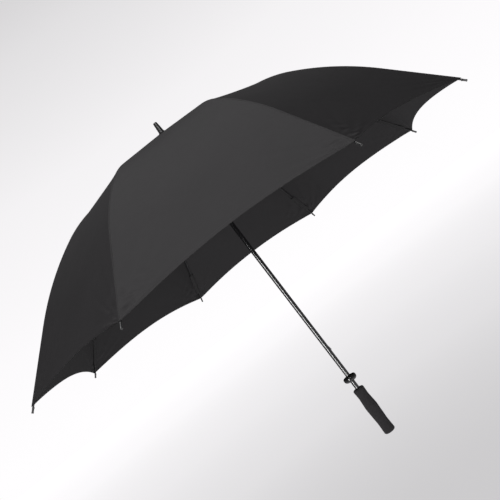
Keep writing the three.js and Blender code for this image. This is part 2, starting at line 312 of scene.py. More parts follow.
def link_plate(a, radius_a, b, radius_b, thickness, middle=0.0):
    """A flat link with round ends at a and b, in the XZ plane, its edges eased."""
    toward = math.atan2(b.z - a.z, b.x - a.x)
    turn = math.acos((radius_a - radius_b) / (b - a).length)
    bm = bmesh.new()
    outline = []
    for centre, radius, start, end in (
        (a, radius_a, toward + turn, toward - turn + math.tau),
        (b, radius_b, toward - turn, toward + turn),
    ):
        for step in range(13):
            angle = start + (end - start) * step / 12
            x, z = centre.x + radius * math.cos(angle), centre.z + radius * math.sin(angle)
            outline.append(bm.verts.new((x, middle - thickness / 2, z)))
    bm.faces.new(outline)
    grown = bmesh.ops.extrude_face_region(bm, geom=bm.faces[:])["geom"]
    top = [item for item in grown if isinstance(item, bmesh.types.BMVert)]
    bmesh.ops.translate(bm, verts=top, vec=(0, thickness, 0))
    rims = [edge for edge in bm.edges if abs(edge.verts[0].co.y - edge.verts[1].co.y) < thickness / 2]
    bmesh.ops.bevel(
        bm, geom=rims, offset=thickness * 0.12, offset_type="OFFSET", affect="EDGES",
        segments=2, profile=0.5, material=-1,
    )
    face_out(bm)
    return bm


def rivet(centre, radius, length):
    """A pin across the rib plane with a domed head at each end."""
    half, head = length / 2, radius * 1.9
    end = half + radius
    bm = turned([
        (0, -end, 0), (head * 0.7, -end, radius * 0.4), (head, -half, 0), (radius, -half, 0),
        (radius, half, 0), (head, half, 0), (head * 0.7, end, radius * 0.4), (0, end, 0),
    ], steps=16)
    return moved(bm, Matrix.Translation(centre) @ Matrix.Rotation(math.pi / 2, 4, "X"))


def on_rib(along, depth=RIB_DEPTH):
    """The place under the ridge line with Z turned down along the rib."""
    lie = Matrix.Rotation(math.pi / 2 + ridge(along)[2], 4, "Y")
    return Matrix.Translation(under_ridge(along, depth)) @ lie


def rib_rod(start, end, radius, sides=14):
    """A rod under the cloth's line from start to end along it."""
    steps = math.ceil((end - start) / ROD_STEP)
    places = [on_rib(start + (end - start) * step / steps) for step in range(steps + 1)]
    bm = bmesh.new()
    bmesh.ops.create_circle(bm, segments=sides, radius=radius, cap_ends=True, matrix=places[0])
    last = bm.faces[:]
    for before, after in zip(places, places[1:]):
        grown = bmesh.ops.extrude_face_region(bm, geom=last)["geom"]
        if before is not places[0]:
            bmesh.ops.delete(bm, geom=[face for face in last if face.is_valid], context="FACES_ONLY")
        last = [item for item in grown if isinstance(item, bmesh.types.BMFace)]
        moving = [item for item in grown if isinstance(item, bmesh.types.BMVert)]
        bmesh.ops.transform(bm, matrix=after @ before.inverted(), verts=moving)
    face_out(bm)
    return bm


def mapped_sheet(name, columns, rows, place, turn, material, body):
    """A thin closed sheet: place(x, y, side) gives a point, the cloth's own place and its edges'.

    x and y go from 0 to 1 over the sheet, and side is 1 on the outer face and 0 on the inner one.
    """
    bm = bmesh.new()
    bmesh.ops.create_grid(bm, x_segments=columns, y_segments=rows, size=0.5)
    bmesh.ops.translate(bm, verts=bm.verts[:], vec=(0.5, 0.5, 0))
    grown = bmesh.ops.extrude_face_region(bm, geom=bm.faces[:])["geom"]
    outer = [item for item in grown if isinstance(item, bmesh.types.BMVert)]
    bmesh.ops.translate(bm, verts=outer, vec=(0, 0, 1))
    cloth_layer = bm.loops.layers.uv.new("Cloth")
    edge_layer = bm.loops.layers.uv.new("Edges")
    step = 1e-3
    cloth_at, edge_at, normals = {}, {}, []
    bm.verts.index_update()
    for vert in bm.verts:
        x, y, side = vert.co
        x_to, y_to = (x + step if x < 0.5 else x - step), (y + step if y < 0.5 else y - step)
        spot, cloth_at[vert.index], edge_at[vert.index] = place(x, y, side)
        by_x = (place(x_to, y, side)[0] - spot) * (1 if x_to > x else -1)
        by_y = (place(x, y_to, side)[0] - spot) * (1 if y_to > y else -1)
        normal = by_y.cross(by_x).normalized() * (1 if side > 0.5 else -1)
        normals.append(turn.to_3x3() @ normal)
        vert.co = turn @ spot
    for face in bm.faces:
        for loop in face.loops:
            loop[cloth_layer].uv = cloth_at[loop.vert.index]
            loop[edge_layer].uv = edge_at[loop.vert.index]
    face_out(bm)
    piece = to_piece(bm, name, material, body, sharp=180)
    piece.data.normals_split_custom_set_from_vertices(normals)
    return piece


# Materials

def arrange(tree):
    """Sets the nodes out in rows of six, so that none lies on another."""
    loose = [node for node in tree.nodes if node.type != "FRAME"]
    for index, node in enumerate(loose):
        node.location = (240 * (index % 6) - 1400, 420 - 320 * (index // 6))


# the stitches are real thread; their colour, lighter than the cloth's, is a painted sheen
THREAD_SHEEN_COLOUR = (0.022, 0.021, 0.022, 1)
STITCH_WIDTH, STITCH_PITCH, STITCH_GAP = 0.0007, 0.0016, 0.0004


def woven_cloth(name, colour):
    """Plain-woven polyester, dull black, puckered where it is sewn."""
    material = bpy.data.materials.new(name)
    material.use_nodes = True
    nodes, links = material.node_tree.nodes, material.node_tree.links
    surface = nodes["Principled BSDF"]
    surface.label = "Dull woven cloth"
    surface.inputs["Specular IOR Level"].default_value = 0.45
    cloth_place = nodes.new("ShaderNodeUVMap")
    cloth_place.label = "Metres over the cloth"
    cloth_place.uv_map = "Cloth"
    edge_place = nodes.new("ShaderNodeUVMap")
    edge_place.label = "Metres from seam and hem"
    edge_place.uv_map = "Edges"

    warp = nodes.new("ShaderNodeTexWave")
    warp.label = "Warp threads"
    warp.bands_direction = "X"
    warp.inputs["Scale"].default_value = 520
    warp.inputs["Distortion"].default_value = 0.6
    warp.inputs["Detail Scale"].default_value = 3
    weft = nodes.new("ShaderNodeTexWave")
    weft.label = "Weft threads"
    weft.bands_direction = "Y"
    weft.inputs["Scale"].default_value = 520
    weft.inputs["Distortion"].default_value = 0.6
    weft.inputs["Detail Scale"].default_value = 3
    crossing = nodes.new("ShaderNodeMath")
    crossing.label = "Threads over and under"
    crossing.operation = "MULTIPLY"
    thread_relief = nodes.new("ShaderNodeBump")
    thread_relief.label = "Thread relief"
    thread_relief.inputs["Strength"].default_value = 0.22
    thread_relief.inputs["Distance"].default_value = 0.00008
    links.new(cloth_place.outputs["UV"], warp.inputs["Vector"])
    links.new(cloth_place.outputs["UV"], weft.inputs["Vector"])
    links.new(warp.outputs["Fac"], crossing.inputs[0])
    links.new(weft.outputs["Fac"], crossing.inputs[1])
    links.new(crossing.outputs["Value"], thread_relief.inputs["Height"])

    slub_stretch = nodes.new("ShaderNodeMapping")
    slub_stretch.label = "Slubs run along the weft"
    slub_stretch.inputs["Scale"].default_value = (40, 900, 1)
    slubs = nodes.new("ShaderNodeTexNoise")
    slubs.label = "Thick and thin threads"
    slubs.inputs["Scale"].default_value = 1
    slubs.inputs["Detail"].default_value = 2
    drift = nodes.new("ShaderNodeTexNoise")
    drift.label = "Slow drift of the dye"
    drift.inputs["Scale"].default_value = 9
    drift.inputs["Detail"].default_value = 3
    cloudy = nodes.new("ShaderNodeMath")
    cloudy.label = "Dye and slubs together"
    cloudy.operation = "MULTIPLY_ADD"
    cloudy.inputs[1].default_value = 0.35
    shade = nodes.new("ShaderNodeValToRGB")
    shade.label = "Black dye"
    shade.color_ramp.elements[0].position = 0.35
    shade.color_ramp.elements[0].color = (*[0.84 * c for c in colour], 1)
    shade.color_ramp.elements[1].position = 1.0
    shade.color_ramp.elements[1].color = (*[1.14 * c for c in colour], 1)
    links.new(cloth_place.outputs["UV"], slub_stretch.inputs["Vector"])
    links.new(slub_stretch.outputs["Vector"], slubs.inputs["Vector"])
    links.new(cloth_place.outputs["UV"], drift.inputs["Vector"])
    links.new(slubs.outputs["Fac"], cloudy.inputs[0])
    links.new(drift.outputs["Fac"], cloudy.inputs[2])
    links.new(cloudy.outputs["Value"], shade.inputs["Fac"])

    parted = nodes.new("ShaderNodeSeparateXYZ")
    parted.label = "Seam and hem distance"
    cloth_parted = nodes.new("ShaderNodeSeparateXYZ")
    cloth_parted.label = "Across and along"
    hem_line = nodes.new("ShaderNodeMath")
    hem_line.label = "Stitch line above the hem"
    hem_line.operation = "COMPARE"
    hem_line.inputs[1].default_value = HEM_FOLD - 0.0016
    hem_line.inputs[2].default_value = STITCH_WIDTH / 2
    seam_line = nodes.new("ShaderNodeMath")
    seam_line.label = "Stitch line beside the seam"
    seam_line.operation = "COMPARE"
    seam_line.inputs[1].default_value = 0.0034
    seam_line.inputs[2].default_value = STITCH_WIDTH / 2
    hem_pitch = nodes.new("ShaderNodeMath")
    hem_pitch.label = "Stitch length at the hem"
    hem_pitch.operation = "PINGPONG"
    hem_pitch.inputs[1].default_value = STITCH_PITCH
    seam_pitch = nodes.new("ShaderNodeMath")
    seam_pitch.label = "Stitch length at the seam"
    seam_pitch.operation = "PINGPONG"
    seam_pitch.inputs[1].default_value = STITCH_PITCH
    hem_dash = nodes.new("ShaderNodeMath")
    hem_dash.label = "Gaps between hem stitches"
    hem_dash.operation = "GREATER_THAN"
    hem_dash.inputs[1].default_value = STITCH_GAP
    seam_dash = nodes.new("ShaderNodeMath")
    seam_dash.label = "Gaps between seam stitches"
    seam_dash.operation = "GREATER_THAN"
    seam_dash.inputs[1].default_value = STITCH_GAP
    hem_stitches = nodes.new("ShaderNodeMath")
    hem_stitches.label = "Hem stitches"
    hem_stitches.operation = "MULTIPLY"
    seam_stitches = nodes.new("ShaderNodeMath")
    seam_stitches.label = "Seam stitches"
    seam_stitches.operation = "MULTIPLY"
    stitches = nodes.new("ShaderNodeMath")
    stitches.label = "All stitches"
    stitches.operation = "MAXIMUM"
    # the stitches' lighter colour over the cloth is a painted sheen of the thread
    sewn_sheen = nodes.new("ShaderNodeMix")
    sewn_sheen.label = "Thread with painted sheen over cloth"
    sewn_sheen.data_type = "RGBA"
    sewn_sheen.inputs["B"].default_value = THREAD_SHEEN_COLOUR
    stitch_relief = nodes.new("ShaderNodeBump")
    stitch_relief.label = "Stitches stand up"
    stitch_relief.inputs["Strength"].default_value = 0.8
    stitch_relief.inputs["Distance"].default_value = 0.0003
    links.new(edge_place.outputs["UV"], parted.inputs["Vector"])
    links.new(cloth_place.outputs["UV"], cloth_parted.inputs["Vector"])
    links.new(parted.outputs["Y"], hem_line.inputs[0])
    links.new(parted.outputs["X"], seam_line.inputs[0])
    links.new(cloth_parted.outputs["X"], hem_pitch.inputs[0])
    links.new(cloth_parted.outputs["Y"], seam_pitch.inputs[0])
    links.new(hem_pitch.outputs["Value"], hem_dash.inputs[0])
    links.new(seam_pitch.outputs["Value"], seam_dash.inputs[0])
    links.new(hem_line.outputs["Value"], hem_stitches.inputs[0])
    links.new(hem_dash.outputs["Value"], hem_stitches.inputs[1])
    links.new(seam_line.outputs["Value"], seam_stitches.inputs[0])
    links.new(seam_dash.outputs["Value"], seam_stitches.inputs[1])
    links.new(hem_stitches.outputs["Value"], stitches.inputs[0])
    links.new(seam_stitches.outputs["Value"], stitches.inputs[1])
    links.new(stitches.outputs["Value"], sewn_sheen.inputs["Factor"])
    links.new(shade.outputs["Color"], sewn_sheen.inputs["A"])
    links.new(sewn_sheen.outputs["Result"], surface.inputs["Base Color"])
    links.new(stitches.outputs["Value"], stitch_relief.inputs["Height"])

    pucker_noise = nodes.new("ShaderNodeTexNoise")
    pucker_noise.label = "Puckers along the sewing"
    pucker_noise.inputs["Scale"].default_value = 130
    pucker_noise.inputs["Detail"].default_value = 1
    pucker_near = nodes.new("ShaderNodeMapRange")
    pucker_near.label = "Only beside the seam"
    pucker_near.inputs["From Max"].default_value = 0.016
    pucker_near.inputs["To Min"].default_value = 1
    pucker_near.inputs["To Max"].default_value = 0
    pucker = nodes.new("ShaderNodeMath")
    pucker.label = "Pucker height"
    pucker.operation = "MULTIPLY"
    crease_noise = nodes.new("ShaderNodeTexNoise")
    crease_noise.label = "Faint fold marks"
    crease_noise.inputs["Scale"].default_value = 11
    crease_noise.inputs["Detail"].default_value = 4
    crease_noise.inputs["Distortion"].default_value = 0.8
    crease_relief = nodes.new("ShaderNodeBump")
    crease_relief.label = "Fold marks in relief"
    crease_relief.inputs["Strength"].default_value = 0.25
    crease_relief.inputs["Distance"].default_value = 0.004
    pucker_relief = nodes.new("ShaderNodeBump")
    pucker_relief.label = "Puckers in relief"
    pucker_relief.inputs["Strength"].default_value = 0.35
    pucker_relief.inputs["Distance"].default_value = 0.0012
    links.new(cloth_place.outputs["UV"], pucker_noise.inputs["Vector"])
    links.new(cloth_place.outputs["UV"], crease_noise.inputs["Vector"])
    links.new(parted.outputs["X"], pucker_near.inputs["Value"])
    links.new(pucker_noise.outputs["Fac"], pucker.inputs[0])
    links.new(pucker_near.outputs["Result"], pucker.inputs[1])
    links.new(crease_noise.outputs["Fac"], crease_relief.inputs["Height"])
    links.new(pucker.outputs["Value"], pucker_relief.inputs["Height"])
    links.new(crease_relief.outputs["Normal"], pucker_relief.inputs["Normal"])
    links.new(pucker_relief.outputs["Normal"], stitch_relief.inputs["Normal"])
    links.new(stitch_relief.outputs["Normal"], thread_relief.inputs["Normal"])
    links.new(thread_relief.outputs["Normal"], surface.inputs["Normal"])

    dull = nodes.new("ShaderNodeMapRange")
    dull.label = "Duller on thick threads"
    dull.inputs["To Min"].default_value = 0.60
    dull.inputs["To Max"].default_value = 0.72
    links.new(slubs.outputs["Fac"], dull.inputs["Value"])
    links.new(dull.outputs["Result"], surface.inputs["Roughness"])

    weave = nodes.new("NodeFrame")
    weave.label = "Weave"
    dye = nodes.new("NodeFrame")
    dye.label = "Dye and slubs"
    sewing = nodes.new("NodeFrame")
    sewing.label = "Stitching"
    folds = nodes.new("NodeFrame")
    folds.label = "Puckers and fold marks"
    arrange(material.node_tree)
    for node in (warp, weft, crossing, thread_relief):
        node.parent = weave
    for node in (slub_stretch, slubs, drift, cloudy, shade, dull):
        node.parent = dye
    for node in (
        parted, cloth_parted, hem_line, seam_line, hem_pitch, seam_pitch, hem_dash, seam_dash,
        hem_stitches, seam_stitches, stitches, sewn_sheen, stitch_relief,
    ):
        node.parent = sewing
    for node in (pucker_noise, pucker_near, pucker, crease_noise, crease_relief, pucker_relief):
        node.parent = folds
    return material


def moulded_plastic(name, colour, roughness, grain):
    """Injection-moulded plastic: a fine grain, slow flow marks and scuffs that dull it."""
    material = bpy.data.materials.new(name)
    material.use_nodes = True
    nodes, links = material.node_tree.nodes, material.node_tree.links
    surface = nodes["Principled BSDF"]
    surface.label = "Moulded plastic"
    surface.inputs["IOR"].default_value = 1.8
    place = nodes.new("ShaderNodeTexCoord")
    place.label = "Metres on the piece"
    flow = nodes.new("ShaderNodeTexNoise")
    flow.label = "Flow marks"
    flow.inputs["Scale"].default_value = 70
    flow.inputs["Detail"].default_value = 3
    tone = nodes.new("ShaderNodeValToRGB")
    tone.label = "Slightly cloudy black"
    tone.color_ramp.elements[0].position = 0.3
    tone.color_ramp.elements[0].color = (*[0.8 * c for c in colour], 1)
    tone.color_ramp.elements[1].position = 0.75
    tone.color_ramp.elements[1].color = (*[1.25 * c for c in colour], 1)
    scuffs = nodes.new("ShaderNodeTexNoise")
    scuffs.label = "Scuffs from handling"
    scuffs.inputs["Scale"].default_value = 260
    scuffs.inputs["Detail"].default_value = 5
    scuffs.inputs["Roughness"].default_value = 0.7
    polish = nodes.new("ShaderNodeMapRange")
    polish.label = "Polish"
    polish.inputs["From Min"].default_value = 0.35
    polish.inputs["From Max"].default_value = 0.8
    polish.inputs["To Min"].default_value = roughness
    polish.inputs["To Max"].default_value = roughness + 0.16
    texture = nodes.new("ShaderNodeTexNoise")
    texture.label = "Mould grain"
    texture.inputs["Scale"].default_value = 2600
    texture.inputs["Detail"].default_value = 1
    relief = nodes.new("ShaderNodeBump")
    relief.label = "Grain relief"
    relief.inputs["Strength"].default_value = grain
    relief.inputs["Distance"].default_value = 0.00005
    links.new(place.outputs["Object"], flow.inputs["Vector"])
    links.new(place.outputs["Object"], scuffs.inputs["Vector"])
    links.new(place.outputs["Object"], texture.inputs["Vector"])
    links.new(flow.outputs["Fac"], tone.inputs["Fac"])
    links.new(tone.outputs["Color"], surface.inputs["Base Color"])
    links.new(scuffs.outputs["Fac"], polish.inputs["Value"])
    links.new(polish.outputs["Result"], surface.inputs["Roughness"])
    links.new(texture.outputs["Fac"], relief.inputs["Height"])
    links.new(relief.outputs["Normal"], surface.inputs["Normal"])
    colour_frame = nodes.new("NodeFrame")
    colour_frame.label = "Colour"
    wear_frame = nodes.new("NodeFrame")
    wear_frame.label = "Wear"
    grain_frame = nodes.new("NodeFrame")
    grain_frame.label = "Grain"
    arrange(material.node_tree)
    for node in (flow, tone):
        node.parent = colour_frame
    for node in (scuffs, polish):
        node.parent = wear_frame
    for node in (texture, relief):
        node.parent = grain_frame
    return material


def painted_steel(name, colour, roughness):
    """Gloss black stoved paint on drawn steel, with a faint ripple and hairline rubs along Z."""
    material = bpy.data.materials.new(name)
    material.use_nodes = True
    nodes, links = material.node_tree.nodes, material.node_tree.links
    surface = nodes["Principled BSDF"]
    surface.label = "Gloss paint"
    surface.inputs["IOR"].default_value = 2.2
    surface.inputs["Coat Weight"].default_value = 0.6
    surface.inputs["Coat Roughness"].default_value = 0.06
    place = nodes.new("ShaderNodeTexCoord")
    place.label = "Metres on the piece"
    lengthwise = nodes.new("ShaderNodeMapping")
    lengthwise.label = "Rubs run along the tube"
    lengthwise.inputs["Scale"].default_value = (900, 900, 22)
    rubs = nodes.new("ShaderNodeTexNoise")
    rubs.label = "Hairline rubs"
    rubs.inputs["Scale"].default_value = 1
    rubs.inputs["Detail"].default_value = 3
    dulling = nodes.new("ShaderNodeMapRange")
    dulling.label = "Rubs dull the paint"
    dulling.inputs["From Min"].default_value = 0.55
    dulling.inputs["From Max"].default_value = 0.8
    dulling.inputs["To Min"].default_value = roughness
    dulling.inputs["To Max"].default_value = roughness + 0.25
    depth = nodes.new("ShaderNodeTexNoise")
    depth.label = "Depth of the paint"
    depth.inputs["Scale"].default_value = 30
    tone = nodes.new("ShaderNodeValToRGB")
    tone.label = "Black paint"
    tone.color_ramp.elements[0].color = (*[0.75 * c for c in colour], 1)
    tone.color_ramp.elements[1].color = (*[1.3 * c for c in colour], 1)
    ripple = nodes.new("ShaderNodeTexNoise")
    ripple.label = "Orange peel"
    ripple.inputs["Scale"].default_value = 420
    relief = nodes.new("ShaderNodeBump")
    relief.label = "Paint ripple"
    relief.inputs["Strength"].default_value = 0.12
    relief.inputs["Distance"].default_value = 0.00006
    links.new(place.outputs["Object"], lengthwise.inputs["Vector"])
    links.new(lengthwise.outputs["Vector"], rubs.inputs["Vector"])
    links.new(rubs.outputs["Fac"], dulling.inputs["Value"])
    links.new(dulling.outputs["Result"], surface.inputs["Roughness"])
    links.new(place.outputs["Object"], depth.inputs["Vector"])
    links.new(depth.outputs["Fac"], tone.inputs["Fac"])
    links.new(tone.outputs["Color"], surface.inputs["Base Color"])
    links.new(place.outputs["Object"], ripple.inputs["Vector"])
    links.new(ripple.outputs["Fac"], relief.inputs["Height"])
    links.new(relief.outputs["Normal"], surface.inputs["Normal"])
    wear_frame = nodes.new("NodeFrame")
    wear_frame.label = "Rubs"
    colour_frame = nodes.new("NodeFrame")
    colour_frame.label = "Colour"
    relief_frame = nodes.new("NodeFrame")
    relief_frame.label = "Orange peel"
    arrange(material.node_tree)
    for node in (lengthwise, rubs, dulling):
        node.parent = wear_frame
    for node in (depth, tone):
        node.parent = colour_frame
    for node in (ripple, relief):
        node.parent = relief_frame
    return material


def foam_skin():
    """Closed-cell foam: a matte skin full of fine cells, a few of them open."""
    material = bpy.data.materials.new("grip foam")
    material.use_nodes = True
    nodes, links = material.node_tree.nodes, material.node_tree.links
    surface = nodes["Principled BSDF"]
    surface.label = "Matte foam"
    surface.inputs["Specular IOR Level"].default_value = 0.25
    surface.inputs["Sheen Weight"].default_value = 0.06
    surface.inputs["Sheen Roughness"].default_value = 0.7
    place = nodes.new("ShaderNodeTexCoord")
    place.label = "Metres on the grip"
    cells = nodes.new("ShaderNodeTexVoronoi")
    cells.label = "Cells"
    cells.inputs["Scale"].default_value = 1500
    cell_relief = nodes.new("ShaderNodeBump")
    cell_relief.label = "Cell relief"
    cell_relief.inputs["Strength"].default_value = 0.5
    cell_relief.inputs["Distance"].default_value = 0.00015
    lumps = nodes.new("ShaderNodeTexNoise")
    lumps.label = "Uneven grinding"
    lumps.inputs["Scale"].default_value = 120
    lumps.inputs["Detail"].default_value = 4
    lump_relief = nodes.new("ShaderNodeBump")
    lump_relief.label = "Ground surface"
    lump_relief.inputs["Strength"].default_value = 0.3
    lump_relief.inputs["Distance"].default_value = 0.0006
    tone = nodes.new("ShaderNodeValToRGB")
    tone.label = "Dark charcoal"
    tone.color_ramp.elements[0].position = 0.25
    tone.color_ramp.elements[0].color = (0.0170, 0.0155, 0.0170, 1)
    tone.color_ramp.elements[1].position = 0.8
    tone.color_ramp.elements[1].color = (0.028, 0.026, 0.028, 1)
    wear = nodes.new("ShaderNodeMapRange")
    wear.label = "Rubbed a little smoother"
    wear.inputs["To Min"].default_value = 0.82
    wear.inputs["To Max"].default_value = 0.97
    links.new(place.outputs["Object"], cells.inputs["Vector"])
    links.new(place.outputs["Object"], lumps.inputs["Vector"])
    links.new(cells.outputs["Distance"], cell_relief.inputs["Height"])
    links.new(lumps.outputs["Fac"], lump_relief.inputs["Height"])
    links.new(lump_relief.outputs["Normal"], cell_relief.inputs["Normal"])
    links.new(cell_relief.outputs["Normal"], surface.inputs["Normal"])
    links.new(lumps.outputs["Fac"], tone.inputs["Fac"])
    links.new(tone.outputs["Color"], surface.inputs["Base Color"])
    links.new(lumps.outputs["Fac"], wear.inputs["Value"])
    links.new(wear.outputs["Result"], surface.inputs["Roughness"])
    cell_frame = nodes.new("NodeFrame")
    cell_frame.label = "Foam cells"
    wear_frame = nodes.new("NodeFrame")
    wear_frame.label = "Ground and rubbed skin"
    arrange(material.node_tree)
    for node in (cells, cell_relief):
        node.parent = cell_frame
    for node in (lumps, lump_relief, tone, wear):
        node.parent = wear_frame
    return material


def bright_metal(name, colour, roughness):
    """Drawn or stamped steel, bright, with fine drawing lines and small dull spots."""
    material = bpy.data.materials.new(name)
    material.use_nodes = True
    nodes, links = material.node_tree.nodes, material.node_tree.links
    surface = nodes["Principled BSDF"]
    surface.label = "Bright steel"
    surface.inputs["Metallic"].default_value = 1
    place = nodes.new("ShaderNodeTexCoord")
    place.label = "Metres on the piece"
    drawn = nodes.new("ShaderNodeMapping")
    drawn.label = "Lines from drawing"
    drawn.inputs["Scale"].default_value = (1800, 1800, 120)
    lines = nodes.new("ShaderNodeTexNoise")
    lines.label = "Drawing lines"
    lines.inputs["Scale"].default_value = 1
    lines.inputs["Detail"].default_value = 2
    relief = nodes.new("ShaderNodeBump")
    relief.label = "Line relief"
    relief.inputs["Strength"].default_value = 0.2
    relief.inputs["Distance"].default_value = 0.00004
    spots = nodes.new("ShaderNodeTexNoise")
    spots.label = "Dull spots"
    spots.inputs["Scale"].default_value = 500
    spots.inputs["Detail"].default_value = 4
    shine = nodes.new("ShaderNodeMapRange")
    shine.label = "Shine"
    shine.inputs["To Min"].default_value = roughness
    shine.inputs["To Max"].default_value = roughness + 0.25
    tone = nodes.new("ShaderNodeValToRGB")
    tone.label = "Steel"
    tone.color_ramp.elements[0].color = (*[0.8 * c for c in colour], 1)
    tone.color_ramp.elements[1].color = (*[1.15 * c for c in colour], 1)
    links.new(place.outputs["Object"], drawn.inputs["Vector"])
    links.new(drawn.outputs["Vector"], lines.inputs["Vector"])
    links.new(lines.outputs["Fac"], relief.inputs["Height"])
    links.new(relief.outputs["Normal"], surface.inputs["Normal"])
    links.new(place.outputs["Object"], spots.inputs["Vector"])
    links.new(spots.outputs["Fac"], shine.inputs["Value"])
    links.new(shine.outputs["Result"], surface.inputs["Roughness"])
    links.new(spots.outputs["Fac"], tone.inputs["Fac"])
    links.new(tone.outputs["Color"], surface.inputs["Base Color"])
    line_frame = nodes.new("NodeFrame")
    line_frame.label = "Drawing lines"
    spot_frame = nodes.new("NodeFrame")
    spot_frame.label = "Dull spots"
    arrange(material.node_tree)
    for node in (drawn, lines, relief):
        node.parent = line_frame
    for node in (spots, shine, tone):
        node.parent = spot_frame
    return material


def fibreglass_rod():
    """Pultruded fibreglass, black, with lengthwise fibres under a satin resin."""
    material = bpy.data.materials.new("rib fibreglass")
    material.use_nodes = True
    nodes, links = material.node_tree.nodes, material.node_tree.links
    surface = nodes["Principled BSDF"]
    surface.label = "Satin resin"
    surface.inputs["IOR"].default_value = 1.52
    place = nodes.new("ShaderNodeTexCoord")
    place.label = "Metres on the rib"
    fibres = nodes.new("ShaderNodeTexNoise")
    fibres.label = "Glass fibres"
    fibres.inputs["Scale"].default_value = 900
    fibres.inputs["Detail"].default_value = 3
    tone = nodes.new("ShaderNodeValToRGB")
    tone.label = "Fibres in black resin"
    tone.color_ramp.elements[0].position = 0.4
    tone.color_ramp.elements[0].color = (0.008, 0.008, 0.009, 1)
    tone.color_ramp.elements[1].position = 0.85
    tone.color_ramp.elements[1].color = (0.03, 0.03, 0.032, 1)
    relief = nodes.new("ShaderNodeBump")
    relief.label = "Fibre relief"
    relief.inputs["Strength"].default_value = 0.2
    relief.inputs["Distance"].default_value = 0.00005
    satin = nodes.new("ShaderNodeMapRange")
    satin.label = "Satin to dull"
    satin.inputs["To Min"].default_value = 0.32
    satin.inputs["To Max"].default_value = 0.55
    links.new(place.outputs["Object"], fibres.inputs["Vector"])
    links.new(fibres.outputs["Fac"], tone.inputs["Fac"])
    links.new(tone.outputs["Color"], surface.inputs["Base Color"])
    links.new(fibres.outputs["Fac"], relief.inputs["Height"])
    links.new(relief.outputs["Normal"], surface.inputs["Normal"])
    links.new(fibres.outputs["Fac"], satin.inputs["Value"])
    links.new(satin.outputs["Result"], surface.inputs["Roughness"])
    frame_node = nodes.new("NodeFrame")
    frame_node.label = "Fibres"
    arrange(material.node_tree)
    for node in (fibres, tone, relief, satin):
        node.parent = frame_node
    return material


canopy_cloth = woven_cloth("canopy cloth", (0.0108, 0.0096, 0.0108))
strap_cloth = woven_cloth("strap cloth", (0.0095, 0.0089, 0.0095))
gloss_plastic = moulded_plastic("gloss plastic", (0.008, 0.008, 0.0085), 0.12, 0.05)
satin_plastic = moulded_plastic("satin plastic", (0.010, 0.010, 0.0105), 0.34, 0.30)
shaft_paint = painted_steel("shaft paint", (0.008, 0.008, 0.009), 0.14)
strut_paint = painted_steel("strut paint", (0.010, 0.010, 0.011), 0.30)
foam = foam_skin()
steel_wire = bright_metal("steel wire", (0.52, 0.52, 0.54), 0.25)
crimp_steel = bright_metal("crimp steel", (0.72, 0.72, 0.74), 0.14)
fibreglass = fibreglass_rod()

# Shaft, hubs and grip

shaft = to_piece(turned([
    (0.0052, -0.052, 0), (SHAFT, -0.052, 0.0003), (SHAFT, 0.909, 0.0003), (0.0052, 0.909, 0),
], steps=64), "shaft_painted_tube", shaft_paint, "shaft")
top_catch_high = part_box("top_catch")[1]
bottom_catch_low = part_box("bottom_catch")[0]
catch_height = 0.014
CATCH_SLOT = 0.0032
slot_size = (SHAFT, CATCH_SLOT, catch_height + 0.002)
top_slot = Vector((SHAFT, 0, top_catch_high.z - catch_height / 2))
bottom_slot = Vector((SHAFT, 0, bottom_catch_low.z + catch_height / 2))
stop_low, stop_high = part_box("stop_pin")
stop_z = (stop_low.z + stop_high.z) / 2
stop_lie = Matrix.Translation((0, 0, stop_z)) @ Matrix.Rotation(math.pi / 2, 4, "X")
STOP_END = 0.0085
stop_hole = moved(turned([
    (0, -STOP_END, 0), (0.0011, -STOP_END, 0), (0.0011, STOP_END, 0), (0, STOP_END, 0),
], steps=20), stop_lie)
cut(shaft, joined(box(slot_size, top_slot), box(slot_size, bottom_slot), stop_hole))
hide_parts("shaft_tube")


def refined(node, material, easing):
    """A CAD plate or pin with its hard edges eased."""
    bm = bmesh.new()
    bm.from_mesh(frame["nodes"][node].data)
    bmesh.ops.remove_doubles(bm, verts=bm.verts[:], dist=1e-6)
    bmesh.ops.dissolve_limit(
        bm, angle_limit=math.radians(2), verts=bm.verts[:], edges=bm.edges[:],
    )
    hard = [edge for edge in bm.edges if edge.calc_face_angle(0) > math.radians(50)]
    bmesh.ops.bevel(
        bm, geom=hard, offset=easing, offset_type="OFFSET", affect="EDGES",
        segments=3, profile=0.5, material=-1,
    )
    body = frame["nodes"][node]["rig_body"]
    piece = to_piece(bm, f"{node}_eased", material, body)
    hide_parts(node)
    return piece


for catch in ("top_catch", "bottom_catch"):
    refined(catch, steel_wire, 0.00025)

stop_pin = to_piece(moved(turned([
    (0, -STOP_END, 0), (0.0009, -STOP_END, 0.0003), (0.0009, STOP_END, 0.0003), (0, STOP_END, 0),
], steps=24), stop_lie), "stop_pin_round", steel_wire, "shaft")
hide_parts("stop_pin")

ferrule_low, ferrule_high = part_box("ferrule")
foot, tip_z = ferrule_low.z, ferrule_high.z
ferrule = to_piece(turned([
    (0, 0.910, 0), (BORE, 0.910, 0.0003), (BORE, foot, 0.0002), (0.0078, foot, 0.0003),
    (0.0084, foot + 0.0012, 0.0006), (0.0084, foot + 0.0036, 0.0008), (0.0076, foot + 0.0046, 0.0004),
    (0.00745, foot + 0.0072, 0.0002), (0.0071, foot + 0.0074, 0.0002), (0.0071, foot + 0.0082, 0.0002),
    (0.00738, foot + 0.0084, 0.0002), (0.0056, tip_z - 0.0034, 0.0003), (0.0053, tip_z - 0.0030, 0.0003),
    (0.0053, tip_z, 0.0011), (0, tip_z, 0),
]), "ferrule_moulded", satin_plastic, "shaft")
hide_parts("ferrule")

